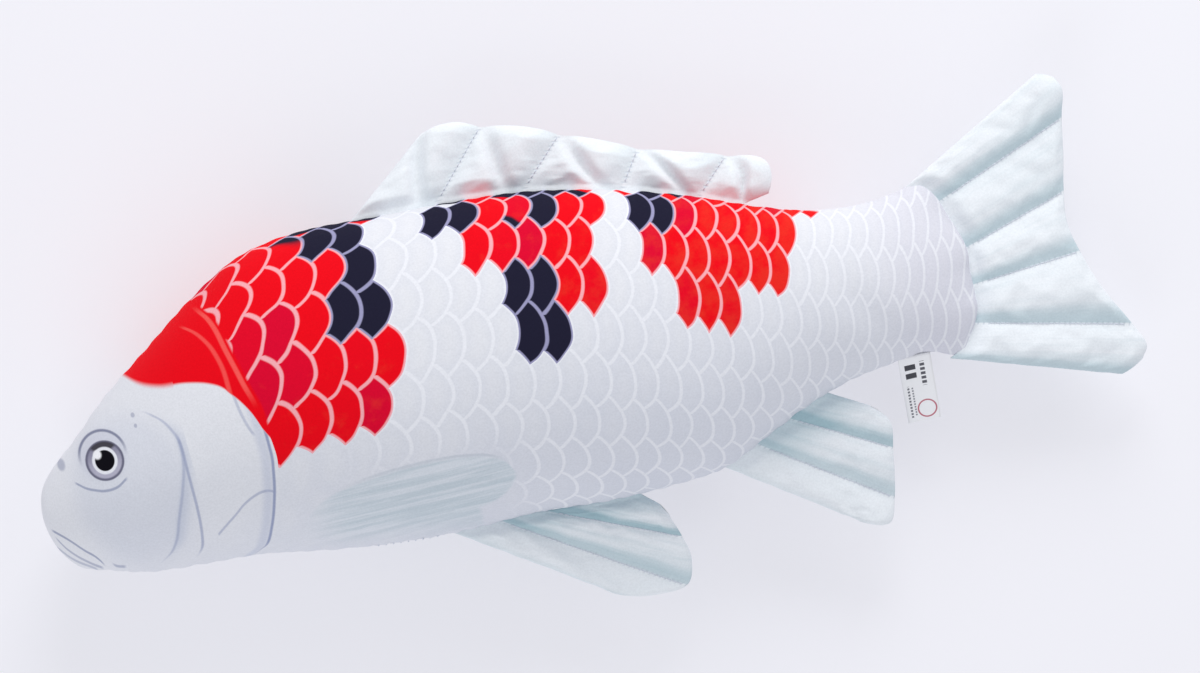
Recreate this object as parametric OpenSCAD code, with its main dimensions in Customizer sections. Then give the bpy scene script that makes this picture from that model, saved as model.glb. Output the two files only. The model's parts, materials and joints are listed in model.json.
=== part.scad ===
// Stuffed koi carp cushion, lying on its right side.
// X runs from the snout to the tail, Y from the belly to the back, and Z up out of its left side.

/* [Size] */
// Length from the snout to the tips of the tail fin
fish_l = 600; // [500:10:700]
// How far the underside is pressed flat by the surface it lies on
press_flat = 7; // [4:1:10]

/* [Fabric] */
// Thickness of the printed short-pile fabric
fabric_t = 1; // [0.8:0.1:1.2]
// Gap left between the body fabric and the filling
fill_gap = 1.2; // [1:0.1:1.6]

/* [Fins] */
// Height of a fin's padding on each side of its middle
pad_h = 5; // [4:0.5:6]
// Width of the flat hem round a fin
hem_w = 4; // [3:0.5:5]
// Width of the flat strip along a quilting line
quilt_w = 4; // [3:0.5:5]
// Gap between a fin's root and the body's edge
root_gap = 1.5; // [1.2:0.1:2]
// Gap between the tail fin's root and the end of the body
tail_gap = 2; // [1.8:0.1:2.4]
// Droop of the dorsal fin below the seam, in degrees
dorsal_droop = 12; // [6:1:16]
// Droop of the tail fin, in degrees
tail_droop = 7; // [3:1:10]
// Droop of the pelvic fin, in degrees
pelvic_droop = 14; // [8:1:18]
// Droop of the anal fin, in degrees
anal_droop = 12; // [8:1:16]

/* [Label] */
// Width of the sewn-in label
label_w = 18; // [14:1:22]
// Length of the folded label
label_l = 37; // [30:1:42]
// Droop of the label, in degrees
label_droop = 25; // [10:1:40]

/* [Thread] */
// Diameter of the sewing thread
thread_d = 0.6; // [0.4:0.1:0.8]
// Distance from one quilting stitch to the next
quilt_pitch = 7; // [5:0.5:10]
// Distance from one stitch of the body seams to the next
seam_pitch = 8; // [6:0.5:12]

/* [Hidden] */

// The tables below are drawn for a fish 600 mm long, and scaled to fish_l.
k = fish_l / 600;
// The middle of the footprint, which is the origin.
centre = [301, 6];

// Stations along the body: x, back y, belly y, swell of the left flank, swell of the right flank, tailward bulge.
stations = [
    [1, -5.5, -6.5, 0.6, 0.6, 0],
    [5, 9, -24, 19, 17, 0],
    [14, 19, -37, 31, 27, 0],
    [30, 31, -43, 44, 37, 0],
    [50, 48, -49, 54, 45, 0],
    [80, 68, -53, 63, 51, 0],
    [110, 88, -56, 68, 54, 0],
    [140, 103, -62, 71, 56, 0],
    [175, 107, -68, 72, 57, 0],
    [215, 104, -72, 72, 57, 0],
    [260, 101, -73, 70, 56, 0],
    [300, 96, -77, 66, 54, 0],
    [340, 86, -78, 60, 50, 0],
    [365, 77, -76, 55, 46, 0],
    [390, 67, -66, 50, 42, 0],
    [415, 56, -56, 44, 38, 0],
    [440, 47, -49, 39, 34, 2],
    [465, 42, -46, 33, 29, 6],
    [485, 42, -45, 24, 22, 12],
    [498, 44, -50, 9, 9, 19],
    [500, 44, -51, 0, 0, 21]];
fat = 57;         // the deepest swell of the right flank
edge_power = 1.15; // how far the section comes to an edge at the seam: 1 is an ellipse
tail_sag = 7;     // fall of the seam from the narrow of the tail to the tail fin
sag_from = 430;
sag_to = 520;
ring_steps = 12;  // steps from the back seam to the belly seam
span_steps = 2;   // rings for each span between stations
seam_slit = 0.1;  // half the slit between the two panels
seam_z = k * fat - press_flat;

// Catmull-Rom curve through a list of rows.
function row(list, i) = list[max(0, min(len(list) - 1, i))];
function spline(list, i, f) =
    let (a = row(list, i - 1), b = row(list, i), c = row(list, i + 1), d = row(list, i + 2))
    0.5 * (2 * b + (c - a) * f + (2 * a - 5 * b + 4 * c - d) * f * f + (3 * b - a - 3 * c + d) * f * f * f);
function curve(list, steps) = [
    for (i = [0:len(list) - 2], s = [0:steps - 1]) spline(list, i, s / steps),
    list[len(list) - 1]];

rings = curve(stations, span_steps);
back_line = [for (r = rings) [r[0], r[1]]];
belly_line = [for (r = rings) [r[0], r[2]]];
function back_y(x) = lookup(x, back_line);
function belly_y(x) = lookup(x, belly_line);
// The curved end of the body, moved out by gap, at angle t from the back seam.
function tail_end(t, gap) =
    let (r = stations[len(stations) - 1])
    [r[0] + (r[5] + gap) * sin(t), (r[1] + r[2]) / 2 + ((r[1] - r[2]) / 2 + gap) * cos(t)];
function drop(x) =
    let (f = max(0, min(1, (x - sag_from) / (sag_to - sag_from))))
    tail_sag * f * f * (3 - 2 * f);

// A point on one side of the body, moved in by inset. side is 1 on the left and -1 on the right.
function skin(r, j, side, inset) =
    let (t = 180 * j / ring_steps, mid_y = (r[1] + r[2]) / 2,
        half_h = max(0.3, (r[1] - r[2]) / 2 - inset),
        swell = max(0, (side > 0 ? r[3] : r[4]) - inset),
        lift = k * swell * pow(max(0, sin(t)), edge_power) + seam_slit,
        ahead = min(inset, 1.5) * (r[0] < 3 ? 1 : r[3] < 1 ? -1 : 0),
        x = k * (r[0] + r[5] * sin(t)) + ahead,
        seam = seam_z - k * drop(x / k))
    [x, k * (mid_y + half_h * cos(t)), side > 0 ? seam + lift : max(inset, seam - lift)];
function side_grid(list, side, inset) = [for (r = list) [for (j = [0:ring_steps]) skin(r, j, side, inset)]];

// A closed slab between an upper and a lower grid of points of the same shape.
module slab(upper, lower, flip) {
    rows = len(upper);
    cols = len(upper[0]);
    all = [for (g = [upper, lower], r = g, p = r) p];
    low = rows * cols;
    top = [for (i = [0:rows - 2], j = [0:cols - 2])
        let (a = i * cols + j) [a, a + cols, a + cols + 1, a + 1]];
    loop = concat(
        [for (i = [0:rows - 2]) i * cols],
        [for (j = [0:cols - 2]) (rows - 1) * cols + j],
        [for (i = [rows - 1:-1:1]) i * cols + cols - 1],
        [for (j = [cols - 1:-1:1]) j]);
    n = len(loop);
    quads = concat(
        top,
        [for (q = top) [q[3] + low, q[2] + low, q[1] + low, q[0] + low]],
        [for (i = [0:n - 1]) let (a = loop[i], b = loop[(i + 1) % n]) [b, a, a + low, b + low]]);
    faces = [for (q = quads) each [[q[0], q[1], q[2]], [q[0], q[2], q[3]]]];
    polyhedron(all, flip ? [for (f = faces) [f[2], f[1], f[0]]] : faces, 4);
}

module place() {
    translate([-k * centre[0], -k * centre[1], 0]) children();
}

module left_body_panel() {
    color([0.95, 0.94, 0.97]) place()
        slab(side_grid(rings, 1, 0), side_grid(rings, 1, fabric_t), false);
}

module right_body_panel() {
    color([0.88, 0.87, 0.92]) place()
        slab(side_grid(rings, -1, fabric_t), side_grid(rings, -1, 0), false);
}

// The filling stops short of the snout and of the turned-in end of the tail.
module body_filling() {
    inset = fabric_t + fill_gap;
    core = [for (r = rings) if (r[0] > 6 && r[3] > 20) r];
    color([0.98, 0.98, 0.95]) place()
        slab(side_grid(core, 1, inset), side_grid(core, -1, inset), false);
}

// One short stitch across the seam.
module cross_stitch(x, y, l) {
    translate([k * x, k * y, seam_z - k * drop(x) - l / 2]) cylinder(h = l, d = thread_d, $fn = 16);
}

module back_seam_thread() {
    color([0.8, 0.1, 0.15]) place()
        for (x = [22:seam_pitch / k:478]) cross_stitch(x, back_y(x) - (fabric_t + fill_gap / 2 + 0.15) / k, 2.4);
}

module belly_seam_thread() {
    color([0.85, 0.85, 0.9]) place()
        for (x = [22:seam_pitch / k:478])
            if (x < 170 || x > 206) cross_stitch(x, belly_y(x) + (fabric_t + fill_gap / 2 + 0.15) / k, 2.4);
}

// The gap that the filling went in through is closed by hand from outside.
module closing_stitches() {
    color([0.93, 0.93, 0.96]) place()
        for (x = [172:4:204]) cross_stitch(x, belly_y(x) - (thread_d / 2 + 0.05) / k, 5);
}

// Fins. Each is a fan of rays: root x, root y, tip x, tip y. Quilting runs along every other ray.
// The lists give each ray's root x, or its angle round the end of the body, and then its tip.
dorsal_rays = [for (r = [
    [205, 254, 144], [228, 270, 144], [252, 285, 138], [275, 306, 131], [299, 325, 122], [324, 345, 113],
    [350, 364, 104], [370, 386, 95], [389, 408, 86], [403, 424, 77], [413, 428, 64]])
    [r[0], back_y(r[0]) + root_gap / k, r[1], r[2]]];
pelvic_rays = [for (r = [
    [215, 290, -129], [228, 308, -134], [242, 324, -131], [255, 330, -119], [268, 329, -106], [294, 327, -96],
    [318, 324, -88]])
    [r[0], belly_y(r[0]) - root_gap / k, r[1], r[2]]];
anal_rays = [for (r = [
    [365, 428, -126], [375, 441, -129], [385, 447, -118], [395, 450, -104], [406, 452, -91], [419, 453, -80],
    [430, 447, -68]])
    [r[0], belly_y(r[0]) - root_gap / k, r[1], r[2]]];
tail_rays = [for (r = [
    [0, 585, 86], [22, 590, 72], [43, 587, 58], [63, 583, 38], [81, 579, 20], [93, 577, 3], [105, 578, -14],
    [118, 585, -37], [133, 595, -60], [153, 602, -76], [180, 592, -86]])
    concat(tail_end(r[0], tail_gap / k), [r[1], r[2]])];

// Hinge lines where the fins bend: a point and the angle of the line, drawn like the tables.
dorsal_hinge = [317, 97.5, -13.2];
pelvic_hinge = [268, -80, -2];
anal_hinge = [398, -72, 21];
tail_hinge = [516, 0, 90];

// Places across a pad and along it, as shares of its width and length.
pad_across = [0, 0.1, 0.25, 0.42, 0.58, 0.75, 0.9, 1];
pad_along = [0, 0.1, 0.3, 0.55, 0.8, 0.93, 1];
root_strip = 6;
function dist(a, b) = norm(b - a);
// The ray at share t of channel c, whose quilting lines are rays 2c and 2c + 2.
function channel_ray(rays, c, t) = let (p = 2 * c + 2 * t, i = min(floor(p), len(rays) - 2)) spline(rays, i, p - i);
function along(r, v) = [r[0] + (r[2] - r[0]) * v, r[1] + (r[3] - r[1]) * v];
function puff(t, s) = pad_h * pow(max(0, sin(180 * t)), 0.6) * pow(max(0, sin(180 * s)), 0.35);
// A point of the pad at share t across channel c and share s along it, at height h above the fin's middle.
function pad_point(rays, c, t, s) =
    let (count = (len(rays) - 1) / 2,
        a = channel_ray(rays, c, 0), b = channel_ray(rays, c, 1), ray_l = dist([a[0], a[1]], [a[2], a[3]]),
        v = (root_strip + (ray_l - root_strip - hem_w) * s) / ray_l,
        w = dist(along(a, v), along(b, v)),
        lo = (c == 0 ? hem_w : quilt_w / 2) / w, hi = (c == count - 1 ? hem_w : quilt_w / 2) / w,
        q = lo + (1 - lo - hi) * t)
    along(channel_ray(rays, c, q), v);
// The same point on the hem: s below 0 is the root's edge, and s above 1 the tip's edge.
function hem_point(rays, c, t, s) =
    let (p = pad_point(rays, c, t, max(0, min(1, s))), q = channel_share(rays, c, t, max(0, min(1, s))),
        r = channel_ray(rays, c, q))
    s < 0 ? along(r, 0) : s > 1 ? along(r, 1) : p;
function channel_share(rays, c, t, s) =
    let (count = (len(rays) - 1) / 2,
        a = channel_ray(rays, c, 0), b = channel_ray(rays, c, 1), ray_l = dist([a[0], a[1]], [a[2], a[3]]),
        v = (root_strip + (ray_l - root_strip - hem_w) * s) / ray_l,
        w = dist(along(a, v), along(b, v)),
        lo = (c == 0 ? hem_w : quilt_w / 2) / w, hi = (c == count - 1 ? hem_w : quilt_w / 2) / w)
    lo + (1 - lo - hi) * t;
// One row of a fin panel's grid, from root to tip. side_t below 0 or above 1 is the channel's own edge ray.
function panel_row(rays, c, t, z0, side) =
    let (edge = t < 0 || t > 1, tc = max(0, min(1, t)),
        er = channel_ray(rays, c, t < 0 ? 0 : 1),
        pad_s = concat([-1], pad_along, [2]))
    [for (s = pad_s)
        let (sc = max(0, min(1, s)), ray_l = dist([er[0], er[1]], [er[2], er[3]]),
            v = s < 0 ? 0 : s > 1 ? 1 : (root_strip + (ray_l - root_strip - hem_w) * s) / ray_l,
            p = edge ? along(er, v) : hem_point(rays, c, tc, s),
            h = edge || s < 0 || s > 1 ? 0 : puff(tc, sc))
        [k * p[0], k * p[1], side * (z0 + h)]];
function panel_grid(rays, z0, side) =
    let (count = (len(rays) - 1) / 2)
    [for (c = [0:count - 1], t = concat([-1], pad_across, c == count - 1 ? [2] : [])) panel_row(rays, c, t, z0, side)];

// Turns a fin down about its hinge line and lifts it to the seam.
module hang(hinge, droop, z) {
    translate([k * hinge[0], k * hinge[1], z]) rotate([0, 0, hinge[2]]) rotate([droop, 0, 0])
        rotate([0, 0, -hinge[2]]) translate([-k * hinge[0], -k * hinge[1], 0]) children();
}
module dorsal_place() {
    place() hang(dorsal_hinge, -dorsal_droop, seam_z) children();
}
module pelvic_place() {
    place() hang(pelvic_hinge, pelvic_droop, seam_z) children();
}
module anal_place() {
    place() hang(anal_hinge, anal_droop, seam_z) children();
}
module tail_place() {
    place() hang(tail_hinge, tail_droop, seam_z - k * tail_sag) children();
}

slit = 0.05; // half the slit between the two layers of a fin's flat strips
module fin_panel(rays, side, flip) {
    outer = panel_grid(rays, fabric_t, side);
    inner = panel_grid(rays, slit, side);
    if (side > 0) slab(outer, inner, flip);
    else slab(inner, outer, flip);
}

// One pad of wadding for each channel.
module fin_wadding(rays, flip) {
    clear = 0.5;
    for (c = [0:(len(rays) - 1) / 2 - 1]) {
        grid = [for (i = [1:len(pad_across) - 2]) [for (j = [1:len(pad_along) - 2])
            let (p = pad_point(rays, c, pad_across[i], pad_along[j]))
            [k * p[0], k * p[1], puff(pad_across[i], pad_along[j]) - clear]]];
        slab(grid, [for (r = grid) [for (p = r) [p[0], p[1], -p[2]]]], flip);
    }
}

// Stitches on both faces along the inner quilting lines.
module fin_quilting(rays) {
    stitch_l = 0.6 * quilt_pitch;
    for (i = [2:2:len(rays) - 3], side = [-1, 1]) {
        r = k * rays[i];
        ray_l = dist([r[0], r[1]], [r[2], r[3]]);
        turn = atan2(r[3] - r[1], r[2] - r[0]);
        for (d = [root_strip:quilt_pitch:ray_l - hem_w - stitch_l])
            translate([r[0], r[1], side * (fabric_t + thread_d / 2)]) rotate([0, 0, turn])
                translate([d, 0, 0]) rotate([0, 90, 0]) cylinder(h = stitch_l, d = thread_d, $fn = 16);
    }
}

module dorsal_fin_left_panel() { color([0.80, 0.88, 0.93]) dorsal_place() fin_panel(dorsal_rays, 1, true); }
module dorsal_fin_right_panel() { color([0.70, 0.80, 0.86]) dorsal_place() fin_panel(dorsal_rays, -1, true); }
module dorsal_fin_wadding() { color([0.98, 0.98, 0.95]) dorsal_place() fin_wadding(dorsal_rays, true); }
module dorsal_fin_quilting() { color([0.55, 0.62, 0.70]) dorsal_place() fin_quilting(dorsal_rays); }

module tail_fin_left_panel() { color([0.80, 0.88, 0.93]) tail_place() fin_panel(tail_rays, 1, true); }
module tail_fin_right_panel() { color([0.70, 0.80, 0.86]) tail_place() fin_panel(tail_rays, -1, true); }
module tail_fin_wadding() { color([0.98, 0.98, 0.95]) tail_place() fin_wadding(tail_rays, true); }
module tail_fin_quilting() { color([0.55, 0.62, 0.70]) tail_place() fin_quilting(tail_rays); }

module pelvic_fin_left_panel() { color([0.80, 0.88, 0.93]) pelvic_place() fin_panel(pelvic_rays, 1, false); }
module pelvic_fin_right_panel() { color([0.70, 0.80, 0.86]) pelvic_place() fin_panel(pelvic_rays, -1, false); }
module pelvic_fin_wadding() { color([0.98, 0.98, 0.95]) pelvic_place() fin_wadding(pelvic_rays, false); }
module pelvic_fin_quilting() { color([0.55, 0.62, 0.70]) pelvic_place() fin_quilting(pelvic_rays); }

module anal_fin_left_panel() { color([0.80, 0.88, 0.93]) anal_place() fin_panel(anal_rays, 1, false); }
module anal_fin_right_panel() { color([0.70, 0.80, 0.86]) anal_place() fin_panel(anal_rays, -1, false); }
module anal_fin_wadding() { color([0.98, 0.98, 0.95]) anal_place() fin_wadding(anal_rays, false); }
module anal_fin_quilting() { color([0.55, 0.62, 0.70]) anal_place() fin_quilting(anal_rays); }

// A satin ribbon folded in two, sewn in at its open end.
label_root = [478, -45.5];
label_turn = 7;
ribbon_t = 0.35;
ribbon_gap = 0.4;
module care_label() {
    outer_d = ribbon_gap + 2 * ribbon_t;
    straight = label_l - outer_d / 2;
    color([0.97, 0.97, 0.97]) place()
        translate([k * label_root[0], k * label_root[1] - root_gap, seam_z - k * drop(label_root[0])])
            rotate([0, 0, -label_turn]) rotate([label_droop, 0, 0]) translate([-label_w / 2, 0, 0])
                rotate([90, 0, 90]) linear_extrude(label_w) difference() {
                    union() {
                        translate([-straight, -outer_d / 2]) square([straight, outer_d]);
                        translate([-straight, 0]) circle(d = outer_d, $fn = 32);
                    }
                    translate([-straight, -ribbon_gap / 2]) square([straight + 1, ribbon_gap]);
                    translate([-straight, 0]) circle(d = ribbon_gap, $fn = 32);
                }
}

left_body_panel();
right_body_panel();
body_filling();
back_seam_thread();
belly_seam_thread();
closing_stitches();
dorsal_fin_left_panel();
dorsal_fin_right_panel();
dorsal_fin_wadding();
dorsal_fin_quilting();
tail_fin_left_panel();
tail_fin_right_panel();
tail_fin_wadding();
tail_fin_quilting();
pelvic_fin_left_panel();
pelvic_fin_right_panel();
pelvic_fin_wadding();
pelvic_fin_quilting();
anal_fin_left_panel();
anal_fin_right_panel();
anal_fin_wadding();
anal_fin_quilting();
care_label();
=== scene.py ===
# %% [markdown]
# # A stuffed koi carp
# The fish is a cushion made of two printed plush panels, four quilted fins and a small ribbon label.
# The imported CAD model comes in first, as a fixed frame. Everything made below stays in its place and size.

# %% Load the frame
import bpy, bmesh, json, math
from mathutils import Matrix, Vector, noise

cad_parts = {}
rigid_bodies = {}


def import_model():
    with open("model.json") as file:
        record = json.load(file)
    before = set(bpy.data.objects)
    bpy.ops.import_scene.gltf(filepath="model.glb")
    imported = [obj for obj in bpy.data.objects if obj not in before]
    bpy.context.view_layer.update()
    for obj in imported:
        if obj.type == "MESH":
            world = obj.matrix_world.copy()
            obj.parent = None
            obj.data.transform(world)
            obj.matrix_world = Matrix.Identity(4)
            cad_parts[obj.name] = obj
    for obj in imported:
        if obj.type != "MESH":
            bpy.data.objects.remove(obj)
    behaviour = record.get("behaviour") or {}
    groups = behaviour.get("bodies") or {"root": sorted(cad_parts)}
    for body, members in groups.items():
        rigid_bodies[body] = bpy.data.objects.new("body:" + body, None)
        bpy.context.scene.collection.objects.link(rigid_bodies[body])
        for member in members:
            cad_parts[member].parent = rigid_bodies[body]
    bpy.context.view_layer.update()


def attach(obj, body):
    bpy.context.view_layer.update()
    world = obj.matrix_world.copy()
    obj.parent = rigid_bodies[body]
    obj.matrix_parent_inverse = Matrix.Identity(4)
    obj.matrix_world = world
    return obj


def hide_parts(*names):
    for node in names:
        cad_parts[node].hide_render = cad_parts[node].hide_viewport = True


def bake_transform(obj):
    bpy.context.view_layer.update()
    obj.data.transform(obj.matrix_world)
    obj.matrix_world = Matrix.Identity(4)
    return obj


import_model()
MM = 0.001
scene = bpy.context.scene

# %% [markdown]
# ## The fish on paper
# The body is drawn as stations, like the frames of a boat. Each row gives the place along the fish, the line of
# the back, the line of the belly, how far each flank swells out of the seam, and how far the end of the body
# bulges towards the tail. A smooth curve through the rows fills in what lies between.

# %% Stations and curves
STATIONS = [
    (1, -5.5, -6.5, 0.6, 0.6, 0), (5, 9, -24, 19, 17, 0), (14, 19, -37, 31, 27, 0), (30, 31, -43, 44, 37, 0),
    (50, 48, -49, 54, 45, 0), (80, 68, -53, 63, 51, 0), (110, 88, -56, 68, 54, 0), (140, 103, -62, 71, 56, 0),
    (175, 107, -68, 72, 57, 0), (215, 104, -72, 72, 57, 0), (260, 101, -73, 70, 56, 0), (300, 96, -77, 66, 54, 0),
    (340, 86, -78, 60, 50, 0), (365, 77, -76, 55, 46, 0), (390, 67, -66, 50, 42, 0), (415, 56, -56, 44, 38, 0),
    (440, 47, -49, 39, 34, 2), (465, 42, -46, 33, 29, 6), (485, 42, -45, 24, 22, 12), (498, 44, -50, 9, 9, 19),
    (500, 44, -51, 0, 0, 21)]
CENTRE_X, CENTRE_Y = 301, 6      # the middle of the fish's footprint
SEAM_Z = 50                      # height of the seam over the table
EDGE_POWER = 1.15                # how far the body comes to an edge at the seam
TAIL_SAG, SAG_FROM, SAG_TO = 7, 430, 520        # how far the seam sinks by the tail, and where


def spline(rows, i, f):
    """The place f of the way from row i to row i + 1, on a smooth curve through all the rows."""
    a, b, c, d = (rows[max(0, min(len(rows) - 1, i + n))] for n in (-1, 0, 1, 2))
    return [0.5 * (2 * q + (r - p) * f + (2 * p - 5 * q + 4 * r - s) * f * f + (3 * q - p - 3 * r + s) * f ** 3)
            for p, q, r, s in zip(a, b, c, d)]


def smooth(x, lo, hi):
    t = max(0.0, min(1.0, (x - lo) / (hi - lo)))
    return t * t * (3 - 2 * t)


def seam_height(x):
    return SEAM_Z - TAIL_SAG * smooth(x, SAG_FROM, SAG_TO)


def world(x, y, z):
    """A point of the drawing, in millimetres from the snout, as a point of the model."""
    return Vector(((x - CENTRE_X) * MM, (y - CENTRE_Y) * MM, z * MM))


print("seam height at the tail:", round(seam_height(500), 1), "mm")

# %% [markdown]
# ## Cloth in grids
# Every sewn piece starts as a flat grid, because woven cloth is one. Each corner of the grid is then moved to
# its place. The grid also carries maps: numbers on every corner that tell the print where it is on the cloth.

# %% A grid of cloth, and a mesh from several of them
def cloth_grid(cols, rows, place, maps):
    """A grid whose corner (i, j) is moved to place(i, j). maps gives each map's pair of numbers there."""
    bm = bmesh.new()
    bmesh.ops.create_grid(bm, x_segments=cols, y_segments=rows, size=1)
    corner = {v: (round((v.co.x + 1) / 2 * cols), round((v.co.y + 1) / 2 * rows)) for v in bm.verts}
    for name, where in maps.items():
        layer = bm.loops.layers.uv.new(name)
        for face in bm.faces:
            for loop in face.loops:
                loop[layer].uv = where(*corner[loop.vert])
    for v, (i, j) in corner.items():
        v.co = place(i, j)
    return bm


def sew(grids, apart=1e-5):
    """One closed mesh from grids whose edges meet."""
    whole = bmesh.new()
    for bm in grids:
        part = bpy.data.meshes.new("part")
        bm.to_mesh(part)
        whole.from_mesh(part)
        bpy.data.meshes.remove(part)
        bm.free()
    bmesh.ops.remove_doubles(whole, verts=whole.verts[:], dist=apart)
    bmesh.ops.recalc_face_normals(whole, faces=whole.faces[:])
    whole.normal_update()
    return whole


def piece(name, bm):
    mesh = bpy.data.meshes.new(name)
    bm.to_mesh(mesh)
    bm.free()
    mesh.polygons.foreach_set("use_smooth", [True] * len(mesh.polygons))
    obj = bpy.data.objects.new(name, mesh)
    scene.collection.objects.link(obj)
    return obj


# %% [markdown]
# ## The body's two panels
# The body is cut as two mirror-image panels, sewn together along the back, the belly and the end of the tail.
# The upper flank is round. The lower one is pressed flat where it lies. Each ring of the grid runs from the back
# seam to the belly seam, and the rings follow the stations.

# %% Rings along the body
def ring_rows():
    rows = []
    for i in range(len(STATIONS) - 1):
        span = STATIONS[i + 1][0] - STATIONS[i][0] + abs(STATIONS[i + 1][3] - STATIONS[i][3]) * 0.6
        steps = max(1, round(span / 3.6))
        rows += [spline(STATIONS, i, s / steps) for s in range(steps)]
    return rows + [list(STATIONS[-1])]


RINGS = ring_rows()
ROUND = 58                       # steps from the back seam to the belly seam
SEAM_SHARE = 0.007               # the first step is short, so that the seam can pull in
GIRTH = [0] + [SEAM_SHARE + (1 - 2 * SEAM_SHARE) * j / (ROUND - 2) for j in range(ROUND - 1)] + [1]


def lies_flat(z, roundness=3, reach=20):
    """A height that settles on the table instead of going through it. Heights over reach stay as they are."""
    return 0.5 * (z + math.sqrt(z * z + roundness ** 2 * max(0, 1 - z / reach) ** 2))


def body_point(ring, share, side):
    x0, back, belly, left, right, bulge = ring
    if ring is RINGS[0]:
        back, belly, left, right = -6, -6, 0, 0
    t = math.pi * share
    lift = (left if side > 0 else right) * max(0, math.sin(t)) ** EDGE_POWER
    x = x0 + bulge * math.sin(t)
    y = (back + belly) / 2 + (back - belly) / 2 * math.cos(t)
    z = seam_height(x) + side * lift
    return (x, y, z if side > 0 else lies_flat(z))


print(len(RINGS), "rings of", len(GIRTH), "corners on each side")

# %% [markdown]
# ## Maps for the print
# The print is planned on two maps. `flank` is the fish as it looks from its side, in millimetres, for the colour
# patches and the face. What stands nearer the eye looks a little larger. `scales` counts scales along and down the
# flank, so that each scale has whole numbers. The scales are large behind the head and small at the tail, and their
# columns lean a little. `steps` and `lean` say how big one count is.

# %% Scale counts
VIEW_X, VIEW_Y, VIEW_FROM = 316.8, 9.7, 1750        # the point that the fish is looked at from, over the seam
SCALE_AT, SCALE_L, SCALE_FALL = 130, 18.2, 0.0268   # length of a scale at a place, and how it falls tailward
SCALE_LEAN = 0.24                # the columns lean: their lower ends are nearer the head
SCALE_H, CROWDING = 62, 1.4e-5   # height of two rows at the back, and how the rows crowd towards the belly


def scale_length(x):
    return SCALE_L - SCALE_FALL * (x - SCALE_AT)


def scale_count(x):
    return -math.log(1 - SCALE_FALL * (x - SCALE_AT) / SCALE_L) / SCALE_FALL


def row_count(way):
    return way / SCALE_H + CROWDING * way * way


def ring_arcs(ring, side):
    """The way round a ring from the back seam to each corner, in millimetres."""
    points = [Vector(body_point(ring, share, side)) for share in GIRTH]
    way = [0.0]
    for a, b in zip(points, points[1:]):
        way.append(way[-1] + (b - a).length)
    return points, way


def body_side(side):
    corners = [ring_arcs(ring, side) for ring in RINGS]
    left = [ring_arcs(ring, 1) for ring in RINGS]

    def flank(i, j):
        p = corners[i][0][j]
        nearer = VIEW_FROM / (VIEW_FROM - abs(p.z - seam_height(p.x)))
        return VIEW_X + (p.x - VIEW_X) * nearer, VIEW_Y + (p.y - VIEW_Y) * nearer

    def leaning(i, j):
        p = corners[i][0][j]
        return p.x - SCALE_LEAN * (p.y - 15)

    def scales(i, j):
        return scale_count(leaning(i, j)), row_count(left[i][1][j])

    def steps(i, j):
        return scale_length(leaning(i, j)), 1 / (1 / SCALE_H + 2 * CROWDING * left[i][1][j])

    def lean(i, j):
        a, b = max(0, j - 1), min(ROUND, j + 1)
        rise = left[i][0][b].y - left[i][0][a].y
        drop = rise / max(1e-3, scales(i, b)[1] - scales(i, a)[1])
        return drop, SCALE_LEAN * drop

    maps = {"flank": flank, "scales": scales, "steps": steps, "lean": lean}
    return cloth_grid(len(RINGS) - 1, ROUND, lambda i, j: world(*corners[i][0][j]), maps)


body_cloth = sew([body_side(1), body_side(-1)])
print("body:", len(body_cloth.verts), "corners,", len(body_cloth.faces), "faces, open edges:",
      sum(e.is_boundary for e in body_cloth.edges))

# %% [markdown]
# ## Puckers and dents
# A seam sewn on a curve gathers the cloth a little. The gathers are deepest at the end of the tail, where a wide
# body is sewn to a flat fin, and on the belly, where the filling went in and the gap was closed by hand.

# %% Gather the cloth at its seams
TAIL_END = world(500, -3.5, seam_height(500))


def outline(which):
    """The body's outline: 1 is the line of the back and 2 the line of the belly."""
    line = [(ring[0], ring[which]) for ring in RINGS]

    def at(x):
        for (xa, ya), (xb, yb) in zip(line, line[1:]):
            if x <= xb:
                return ya + (yb - ya) * max(0, x - xa) / max(1e-6, xb - xa)
        return line[-1][1]
    return at


back_y, belly_y = outline(1), outline(2)


def bell(d, width):
    return math.exp(-(d / width) ** 2)


def ruffle(x, y, z):
    """How far the cloth stands out at a place on the body, in millimetres."""
    side = 1 if z >= seam_height(x) else -1
    roam = noise.noise(Vector((x / 60, y / 45, z / 45)))
    out = 0.9 * noise.noise(Vector((x / 85, y / 60, 3.1))) + 0.35 * roam
    off_seam = abs(z - seam_height(x))
    for seam, seed, deep in ((back_y(x), 1.7, 0.35), (belly_y(x), 5.3, 0.45)):
        near = bell(off_seam, 11) * bell(y - seam, 16)
        wave = math.sin(2 * math.pi * (x / 10.5 + 0.7 * noise.noise(Vector((x / 30, seed, side)))))
        out += deep * near * wave
    hand = smooth(x, 150, 172) * (1 - smooth(x, 214, 250)) * bell(y - belly_y(x), 14) * bell(off_seam, 15)
    out += hand * 1.3 * math.sin(2 * math.pi * (x / 8 + 0.5 * roam + 0.2 * side))
    end = (world(x, y, z) - TAIL_END).length / MM
    turn = math.atan2(z - seam_height(x), (y + 3.5) * 0.8)
    rim = 500 + 21 * math.sqrt(max(0, 1 - ((y + 3.5) / 48) ** 2)) - x
    gather = math.exp(-max(0, rim) / 11) * smooth(x, 455, 490)
    out += gather * 1.5 * math.sin(y / 5.2 + 1.2 * noise.noise(Vector((y / 14, 2.2, side))) + 0.6 * side)
    dent = bell((x - 458) * 0.85 + (y + 16) * 0.5, 9) * bell((y + 16) * 0.85 - (x - 458) * 0.5, 26)
    out -= 1.6 * dent * (side > 0)
    return out


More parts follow.
